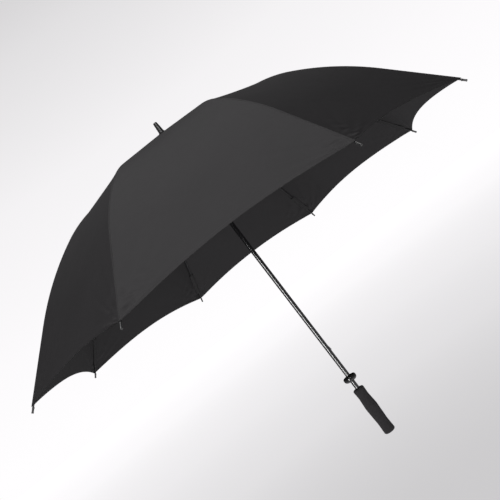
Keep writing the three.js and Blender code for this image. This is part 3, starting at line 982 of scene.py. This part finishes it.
cap_low, cap_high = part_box("crown_cap")
crown_cap = to_piece(turned([
    (0.0065, cap_low.z, 0), (0.0148, cap_low.z, 0.0002), (0.0150, cap_low.z + 0.0004, 0.0002),
    (0.0135, cap_low.z + 0.0009, 0.0004), (0.0092, cap_high.z, 0.0004), (0.0065, cap_high.z, 0.0001),
]), "crown_cap_disc", satin_plastic, "shaft")
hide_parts("crown_cap")

SLOT_WIDTH = 0.0029
SLOT_FLOOR = 0.0086
HUB = 0.0132


def slot_cutter(low, high):
    """Eight blocks that cut the slots of a hub, one at each rib."""
    depth = HUB + 0.002 - SLOT_FLOOR
    size = (depth, SLOT_WIDTH, high - low)
    centre = Vector((SLOT_FLOOR + depth / 2, 0, (low + high) / 2))
    return joined(*[moved(box(size, centre), spoke(number)) for number in range(1, RIBS + 1)])


notch_low, notch_high = HINGE.z - 0.007, HINGE.z + 0.002
notch = to_piece(turned([
    (BORE, notch_low, 0.0003), (0.0100, notch_low, 0.0008), (HUB, notch_low + 0.0022, 0.0009),
    (HUB, notch_high, 0.0006), (BORE, notch_high, 0.0003),
], steps=96), "notch_moulded", satin_plastic, "shaft")
cut(notch, slot_cutter(notch_low - 0.001, notch_high + 0.001))
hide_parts("notch")
notch_wire = to_piece(
    ring(EYES, WIRE, height=HINGE.z), "notch_ring_wire", steel_wire, "shaft",
)
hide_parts("notch_wire")

runner_low, runner_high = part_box("runner")
head_low = RUNNER_PIVOT.z - 0.005
runner = to_piece(turned([
    (BORE, runner_low.z, 0.0004), (0.0092, runner_low.z, 0.0006), (0.0096, runner_low.z + 0.0022, 0.0008),
    (0.0084, runner_low.z + 0.0060, 0.0012), (0.0082, head_low - 0.0050, 0.0012),
    (0.0100, head_low - 0.0004, 0.0010), (HUB, head_low, 0.0008), (HUB, runner_high.z, 0.0007),
    (0.0082, runner_high.z, 0.0004), (BORE, runner_high.z, 0.0003),
], steps=96), "runner_moulded", satin_plastic, "runner")
runner_slide = next(joint for joint in frame["joints"] if joint["name"] == "runner_slide")
travel = -runner_slide["range_m"][0]
catch_top = runner_low.z - travel + 0.003 + catch_height
window = box((SHAFT, CATCH_SLOT, 0.016), Vector((0.0082, 0, catch_top + travel + 0.001 - 0.008)))
cut(runner, joined(slot_cutter(head_low - 0.0002, runner_high.z + 0.001), window))
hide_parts("runner")
to_piece(joined(*[
    ring(0.0080, 0.0008, height=runner_low.z + 0.0105 + 0.0034 * index) for index in range(2)
]), "runner_finger_rings", satin_plastic, "runner")
runner_wire = to_piece(
    ring(EYES, WIRE, height=RUNNER_PIVOT.z), "runner_ring_wire", steel_wire, "runner",
)
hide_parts("runner_wire")

cup_low, cup_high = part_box("tip_cup")
CUP = cup_high.x
tip_cup = to_piece(turned([
    (BORE, cup_low.z, 0.0004), (CUP, cup_low.z, 0.0070), (CUP, cup_high.z, 0.0045),
    (0.0146, cup_high.z - 0.0004, 0.0005), (0.0146, 0.0955, 0.0015), (0.0082, 0.0955, 0.0005),
    (0.0082, cup_high.z - 0.002, 0.0006), (BORE, cup_high.z - 0.002, 0.0002),
], steps=96), "tip_cup_ring", gloss_plastic, "shaft")
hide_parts("tip_cup")

grip_low, grip_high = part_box("grip")
GRIP_LENGTH = grip_high.z - grip_low.z
CONTOUR = [
    (0.0, 0.0155), (0.18, 0.0143), (0.42, 0.0166), (0.60, 0.01555), (0.76, 0.0145), (1.0, 0.0155),
]


def grip_radius(down):
    """The grip's radius at a share of its length from the top, eased between its contour's stations."""
    for (from_top, before), (to, after) in zip(CONTOUR, CONTOUR[1:]):
        if down <= to:
            share = (down - from_top) / (to - from_top)
            return before + (after - before) * (share + ease(share)) / 2
    return CONTOUR[-1][1]


grip_side = [
    (grip_radius(step / 40), grip_high.z - step / 40 * GRIP_LENGTH, 0) for step in range(2, 39)
]
grip = to_piece(turned([
    (0, -0.0595, 0), (0.0079, -0.0595, 0), (0.0079, grip_high.z - 0.0008, 0.0006),
    (0.0155, grip_high.z, 0.0045), *grip_side, (0.0155, grip_low.z, 0.0042), (0, grip_low.z, 0),
], steps=96), "grip_foam", foam, "shaft")
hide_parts("grip")

core = to_piece(turned([
    (0, -0.059, 0), (0.0076, -0.059, 0.0005), (0.0076, 0.066, 0.0004), (BORE, 0.066, 0.0002),
    (BORE, -0.055, 0), (0, -0.055, 0),
]), "grip_core_socket", satin_plastic, "shaft")
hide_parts("grip_core")

# Ribs and struts


def make_rib(number):
    """One rib with its joint, strut, end cap, ties and crimp."""
    turn = spoke(number)
    inner, outer, strut = f"rib_inner_{number}", f"rib_outer_{number}", f"stretcher_{number}"

    eye_neck = under_ridge(0.022, RIB_DEPTH)
    neck = under_ridge(FLEX_AT - 0.010, RIB_DEPTH)
    inner_rod = to_piece(moved(joined(
        rib_rod(0.020, FLEX_AT - 0.005, ROD),
        link_plate(HINGE, EYE, eye_neck, NECK, TONGUE),
    ), turn), f"rib_inner_rod_{number}", fibreglass, inner)
    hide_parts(inner)
    to_piece(moved(joined(
        *[plate for side in (-0.002, 0.002) for plate in (
            link_plate(FLEX, CHEEK_EYE, neck, 0.0018, CHEEK, side),
            link_plate(FLEX, CHEEK_EYE, STRUT, CHEEK_EYE, CHEEK, side * 1.0001),
        )],
        rivet(FLEX, PIN, 0.0050), rivet(STRUT, PIN, 0.0050),
    ), turn), f"rib_joint_{number}", strut_paint, inner)

    outer_neck = under_ridge(FLEX_AT + 0.010, RIB_DEPTH)
    outer_rod = to_piece(moved(joined(
        rib_rod(FLEX_AT + 0.005, RIB_END, ROD),
        link_plate(FLEX, EYE, outer_neck, NECK, TONGUE),
    ), turn), f"rib_outer_rod_{number}", fibreglass, outer)
    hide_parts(outer)

    toward = (RUNNER_PIVOT - STRUT).normalized()
    length = (RUNNER_PIVOT - STRUT).length
    lie = toward.to_track_quat("Z", "Y").to_matrix().to_4x4()
    shank_end = length - 0.009
    shank = turned([
        (0, 0.005, 0), (ROD, 0.005, 0.0005), (ROD, shank_end, 0.0005), (0, shank_end, 0),
    ], steps=16)
    strut_rod = to_piece(moved(joined(
        moved(shank, Matrix.Translation(STRUT) @ lie),
        link_plate(STRUT, EYE, STRUT + toward * 0.010, NECK, TONGUE),
        link_plate(RUNNER_PIVOT, EYE, RUNNER_PIVOT - toward * 0.012, NECK, TONGUE),
    ), turn), f"stretcher_rod_{number}", strut_paint, strut)
    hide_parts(strut)

    cap_lie = on_rib(CORNER_AT + 0.0003)
    cap_length = TIP_END - CORNER_AT - 0.0003
    end_cap = to_piece(moved(turned([
        (0, 0.0066, 0), (0.00205, 0.0066, 0), (0.00205, 0, 0.0002), (0.0028, 0, 0.0004),
        (0.0028, 0.0030, 0.0004), (0.0024, 0.0042, 0.0004), (0.0023, cap_length - 0.0036, 0.0006),
        (0.0027, cap_length - 0.0022, 0.0007), (0.0026, cap_length, 0.0013), (0, cap_length, 0),
    ], steps=32), turn @ cap_lie), f"rib_end_cap_{number}", satin_plastic, outer)
    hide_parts(f"rib_tip_{number}")

    for zone, body in (("inner", inner), ("outer", outer)):
        rings = []
        for along in TIES_AT[zone]:
            for shift in (-0.0007, 0.0007):
                rings.append(moved(ring(0.0023, 0.00045, steps=20), on_rib(along + shift)))
        to_piece(moved(joined(*rings), turn), f"rib_ties_{zone}_{number}", strap_cloth, body)
    to_piece(moved(turned([
        (0.0018, -0.0045, 0), (0.0025, -0.0045, 0.0003), (0.0025, -0.0012, 0.0003), (0.0022, -0.0008, 0.0002),
        (0.0022, 0.0008, 0.0002), (0.0025, 0.0012, 0.0003), (0.0025, 0.0045, 0.0003), (0.0018, 0.0045, 0),
    ], steps=32), turn @ on_rib(CRIMP_AT)), f"rib_crimp_{number}", crimp_steel, outer)


# Canopy

GORE_COLUMNS = 16
# the cloth starts just outside the hinges, under the disc of the cap
CLOTH_FROM = 0.0118
# each length of a half gore: where it starts and ends along its rib, None up to the hem, and its rows
ZONES = {"inner": (CLOTH_FROM, FLEX_AT, 18), "outer": (FLEX_AT, None, 56)}


def fold_axis(zone, side):
    """The way a half gore would gather to its rib at azimuth 0, and a point on that rib.

    It is square to the rib's line, so the cloth would gather sideways and keep its length.
    """
    start, end, _ = ZONES[zone]
    first, last = under_ridge(start, 0), under_ridge(end or CORNER_AT, 0)
    down = (last - first).normalized()
    out = Vector((-down.z, 0, down.x))
    lean = math.sin(SECTOR / 2) * out.dot(Vector((1, 0, 0)))
    axis = Vector((0, side * math.cos(SECTOR / 2), 0)) - out * lean
    return axis.normalized(), (first + last) / 2


def hem_thickness(from_hem):
    """The hem is folded twice, so the cloth is three layers thick there."""
    return CLOTH + (0.0006 if from_hem < HEM_FOLD else 0.0)


def half_gore(number, half, zone):
    """Half of a gore beside one of its two ribs, over the inner or the outer length of the rib."""
    first = half == "left"
    rib_number = number if first else number % RIBS + 1
    start, end, rows = ZONES[zone]
    fold_rows = 4

    def along_at(across, y):
        if zone == "inner":
            return start + (end - start) * y
        hem = hem_at(across)
        knee = 1 - fold_rows / rows
        if y <= knee:
            return start + (hem - HEM_FOLD - start) * y / knee
        into = (y - knee) / (1 - knee)
        return hem - HEM_FOLD * (1 - into)

    def place(x, y, side):
        across = x / 2 if first else 0.5 + x / 2
        along = along_at(across, y)
        from_hem = hem_at(across) - along
        thickness = hem_thickness(from_hem + 1e-7) if zone == "outer" else CLOTH
        point = gore_point(across, along, -thickness * (1 - side), number)
        width = gore_width(along)
        return point, ((across - 0.5) * width, along), (min(across, 1 - across) * width, from_hem)

    body = f"rib_{zone}_{rib_number}"
    name = f"canopy_{number}_{half}_{zone}"
    piece = mapped_sheet(name, GORE_COLUMNS, rows, place, spoke(number), canopy_cloth, body)
    slices = 40
    area = longest = 0.0
    for index in range(slices):
        across = (index + 0.5) / slices / 2
        last = end or hem_at(across)
        longest = max(longest, last - start)
        area += (gore_width((start + last) / 2) / 2) * (last - start) / slices
    widest = gore_width(end or CORNER_AT) / 2
    axis, anchor = fold_axis(zone, 1 if first else -1)
    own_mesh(piece)
    if first and zone == "inner":
        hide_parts(f"canopy_panel_{number}")
    return piece


def seam_strip(number, zone):
    """The felled seam that shows as a narrow raised line over the rib."""
    start, end, rows = ZONES[zone]
    half_width = 0.0022

    def place(x, y, side):
        along = start + ((end or CORNER_AT - 0.0005) - start) * y
        crown_width = min(half_width, gore_width(along) * 0.4)
        distance = (2 * x - 1) * crown_width
        rise = 0.0004 * (1 - (2 * x - 1) ** 4) + 0.00005
        point = beside_rib(distance, along, rise * side - 0.0001 * (1 - side), number)
        return point, (distance, along), (abs(distance) + 0.012, 0.1)

    return mapped_sheet(
        f"seam_{zone}_{number}", 6, rows * 2, place, spoke(number), canopy_cloth, f"rib_{zone}_{number}",
    )


def seam_tape(number, zone):
    """The seam allowance under the cloth, a flat fold on both sides of the rib."""
    start, end, rows = ZONES[zone]
    half_width = 0.0058

    def place(x, y, side):
        along = start + 0.004 + ((end or CORNER_AT - HEM_FOLD) - start - 0.004) * y
        distance = (2 * x - 1) * min(half_width, gore_width(along) * 0.42)
        point = beside_rib(distance, along, -CLOTH - 0.0006 * (1 - side), number)
        return point, (distance, along), (abs(distance), 0.1)

    return mapped_sheet(
        f"seam_fold_{zone}_{number}", 8, rows * 2, place, spoke(number), canopy_cloth, f"rib_{zone}_{number}",
    )


POCKET_FROM, POCKET_LENGTH = 0.664, 0.082


def rib_pocket(number):
    """A cloth sleeve sewn under the cloth, which the rib's outer end runs through."""
    half_width = 0.0085

    def place(x, y, side):
        along = POCKET_FROM + POCKET_LENGTH * y
        distance = (2 * x - 1) * half_width
        hang = 0.0048 * math.cos(math.pi * (x - 0.5)) ** 2
        lift = -0.0013 - hang - 0.0005 * (1 - side)
        point = beside_rib(distance, along, lift, number)
        from_edges = (abs(distance) - half_width + 0.0050, POCKET_LENGTH * min(y, 1 - y) + 0.005)
        return point, (distance, along), from_edges

    return mapped_sheet(
        f"rib_pocket_{number}", 18, 24, place, spoke(number), strap_cloth, f"rib_outer_{number}",
    )


for number in range(1, RIBS + 1):
    make_rib(number)
    for zone in ZONES:
        seam_strip(number, zone)
        seam_tape(number, zone)
    rib_pocket(number)
for number in range(1, RIBS + 1):
    for half in ("left", "right"):
        for zone in ZONES:
            half_gore(number, half, zone)

# Tie strap

STRAP_RIB = 3
STRAP_FROM, STRAP_TO = 0.600, 0.750
STRAP_NEAR, STRAP_WIDTH = 0.012, 0.022


def strap_point(x, along, lift):
    wave = 0.0006 * (1 + math.sin(along / 0.012)) * math.sin(math.pi * x)
    return beside_rib(STRAP_NEAR + x * STRAP_WIDTH, along, lift + wave, STRAP_RIB)


def strap_place(x, y, side):
    along = STRAP_FROM + (STRAP_TO - STRAP_FROM) * y
    rim = min(x, 1 - x) * STRAP_WIDTH
    end = min(y, 1 - y) * (STRAP_TO - STRAP_FROM)
    spot = strap_point(x, along, 0.0005 + 0.0011 * side)
    return spot, (x * STRAP_WIDTH, along), (rim + 0.0012, end + 0.005)


def patch_place(x, y, side):
    across = 0.12 + 0.76 * x
    along = STRAP_TO - 0.034 + 0.028 * y
    rim = min(x * 0.0167, (1 - x) * 0.0167, y * 0.028, (1 - y) * 0.028)
    return strap_point(across, along, 0.0017 + 0.0008 * side), (x * 0.0167, along), (rim + 0.002, rim + 0.006)


strap = mapped_sheet("strap_band", 10, 60, strap_place, spoke(STRAP_RIB), strap_cloth, "rib_outer_3")
patch = mapped_sheet("strap_patch", 10, 16, patch_place, spoke(STRAP_RIB), strap_cloth, "rib_outer_3")
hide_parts("tie_strap")
for piece in (strap, patch):
    axis, anchor = fold_axis("outer", 1)
    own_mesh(piece)

# Floor and light

bpy.context.scene.view_settings.view_transform = "Standard"
FLOOR_RADIUS = 60
FLOOR_Z = -1.3
# painted glow of the floor, seen grey in the middle as a painted shade and white towards the rim: at its
# middle, at its rim, and at each distance in metres from its middle
PAPER_SEEN_GLOW = (0.42, 0.97, ((3, 0.50), (6, 0.65), (10, 0.74), (20, 0.86), (40, 0.93)))
PAPER_LIT = (0.75, 0.03, ((2, 0.52), (4, 0.13), (8, 0.05)))


def glowing_floor():
    """Seamless paper that glows with painted light instead of being lit. Seen directly it is darker in the
    middle, a painted shade under the object, and white towards its rim; as a light it glows only nearby.
    """
    material = bpy.data.materials.new("glowing floor")
    material.use_nodes = True
    nodes, links = material.node_tree.nodes, material.node_tree.links
    surface = nodes["Principled BSDF"]
    surface.label = "Grey paper under a painted glow"
    surface.inputs["Base Color"].default_value = (0.22, 0.22, 0.225, 1)
    surface.inputs["Roughness"].default_value = 0.9
    surface.inputs["Specular IOR Level"].default_value = 0.05
    # the floor's brightness is a painted glow, and its darker middle a painted shade
    surface.inputs["Emission Strength"].default_value = 1
    place = nodes.new("ShaderNodeTexCoord")
    place.label = "Metres on the floor"
    distance = nodes.new("ShaderNodeVectorMath")
    distance.label = "Distance from the middle"
    distance.operation = "LENGTH"
    share = nodes.new("ShaderNodeMapRange")
    share.label = "From the middle to the rim"
    share.inputs["From Max"].default_value = FLOOR_RADIUS
    seen_glow = nodes.new("ShaderNodeValToRGB")
    seen_glow.label = "Painted glow as seen"
    lit = nodes.new("ShaderNodeValToRGB")
    lit.label = "Paper as a light"
    for tones, middle, rim, stops in ((seen_glow, *PAPER_SEEN_GLOW), (lit, *PAPER_LIT)):
        tones.color_ramp.elements[0].color = (middle, 0.985 * middle, middle, 1)
        tones.color_ramp.elements[1].color = (rim, 0.99 * rim, rim, 1)
        for from_middle, value in stops:
            stop = tones.color_ramp.elements.new(from_middle / FLOOR_RADIUS)
            stop.color = (value, 0.985 * value, value, 1)
    seen = nodes.new("ShaderNodeLightPath")
    seen.label = "Seen directly or not"
    glow = nodes.new("ShaderNodeMix")
    glow.label = "Glow"
    glow.data_type = "RGBA"
    links.new(place.outputs["Object"], distance.inputs[0])
    links.new(distance.outputs["Value"], share.inputs["Value"])
    links.new(share.outputs["Result"], seen_glow.inputs["Fac"])
    links.new(share.outputs["Result"], lit.inputs["Fac"])
    links.new(seen.outputs["Is Camera Ray"], glow.inputs["Factor"])
    links.new(lit.outputs["Color"], glow.inputs["A"])
    links.new(seen_glow.outputs["Color"], glow.inputs["B"])
    links.new(glow.outputs["Result"], surface.inputs["Emission Color"])
    arrange(material.node_tree)
    return material


floor_mesh = bmesh.new()
bmesh.ops.create_circle(
    floor_mesh, cap_ends=True, segments=96, radius=FLOOR_RADIUS, matrix=Matrix.Translation((0, 0, FLOOR_Z)),
)
floor_data = bpy.data.meshes.new("floor")
floor_mesh.to_mesh(floor_data)
floor_mesh.free()
floor_data.materials.append(glowing_floor())
floor = bpy.data.objects.new("floor", floor_data)
bpy.context.scene.collection.objects.link(floor)

world = bpy.data.worlds.new("studio")
bpy.context.scene.world = world
world.use_nodes = True
world_nodes, world_links = world.node_tree.nodes, world.node_tree.links
backdrop = world_nodes["Background"]
backdrop.label = "Backdrop as seen"
room = world_nodes.new("ShaderNodeBackground")
room.label = "Room that lights the object"
direction = world_nodes.new("ShaderNodeTexCoord")
direction.label = "Direction"
height = world_nodes.new("ShaderNodeSeparateXYZ")
height.label = "Height of the direction"
walls = world_nodes.new("ShaderNodeValToRGB")
walls.label = "White horizon, greyer above"
walls.color_ramp.elements[0].position = 0.0
walls.color_ramp.elements[0].color = (1.0, 0.99, 1.0, 1)
walls.color_ramp.elements[1].position = 0.72
walls.color_ramp.elements[1].color = (0.42, 0.41, 0.42, 1)
for position, value in ((0.13, 0.975), (0.31, 0.905), (0.47, 0.76)):
    stop = walls.color_ramp.elements.new(position)
    stop.color = (value, 0.985 * value, value, 1)
dim = world_nodes.new("ShaderNodeValToRGB")
dim.label = "Soft ceiling over dim walls"
dim.color_ramp.elements[0].position = 0.0
dim.color_ramp.elements[0].color = (0.08, 0.08, 0.08, 1)
dim.color_ramp.elements[1].position = 1.0
dim.color_ramp.elements[1].color = (2.6, 2.58, 2.6, 1)
for position, value in ((0.5, 0.05), (0.85, 0.20)):
    stop = dim.color_ramp.elements.new(position)
    stop.color = (value, 0.99 * value, value, 1)
seen = world_nodes.new("ShaderNodeLightPath")
seen.label = "Seen directly or not"
both = world_nodes.new("ShaderNodeMixShader")
both.label = "Backdrop or room"
world_links.new(direction.outputs["Generated"], height.inputs["Vector"])
world_links.new(height.outputs["Z"], walls.inputs["Fac"])
world_links.new(height.outputs["Z"], dim.inputs["Fac"])
world_links.new(walls.outputs["Color"], backdrop.inputs["Color"])
world_links.new(dim.outputs["Color"], room.inputs["Color"])
world_links.new(seen.outputs["Is Camera Ray"], both.inputs["Fac"])
world_links.new(room.outputs["Background"], both.inputs[1])
world_links.new(backdrop.outputs["Background"], both.inputs[2])
world_links.new(both.outputs["Shader"], world_nodes["World Output"].inputs["Surface"])
arrange(world.node_tree)


def soft_light(name, place, aim, size, power):
    light = bpy.data.lights.new(name, "AREA")
    light.shape = "RECTANGLE"
    light.size, light.size_y = size
    light.energy = power
    lamp = bpy.data.objects.new(name, light)
    bpy.context.scene.collection.objects.link(lamp)
    lamp.location = place
    lamp.rotation_mode = "QUATERNION"
    lamp.rotation_quaternion = (Vector(aim) - Vector(place)).to_track_quat("-Z", "Y")


soft_light("front box", (0.2, -3.0, 2.0), (0, 0, 0.5), (1.2, 1.2), 32)
soft_light("side strip", (-1.15, -2.0, 0.1), (0, 0, 0.3), (0.42, 1.7), 26)
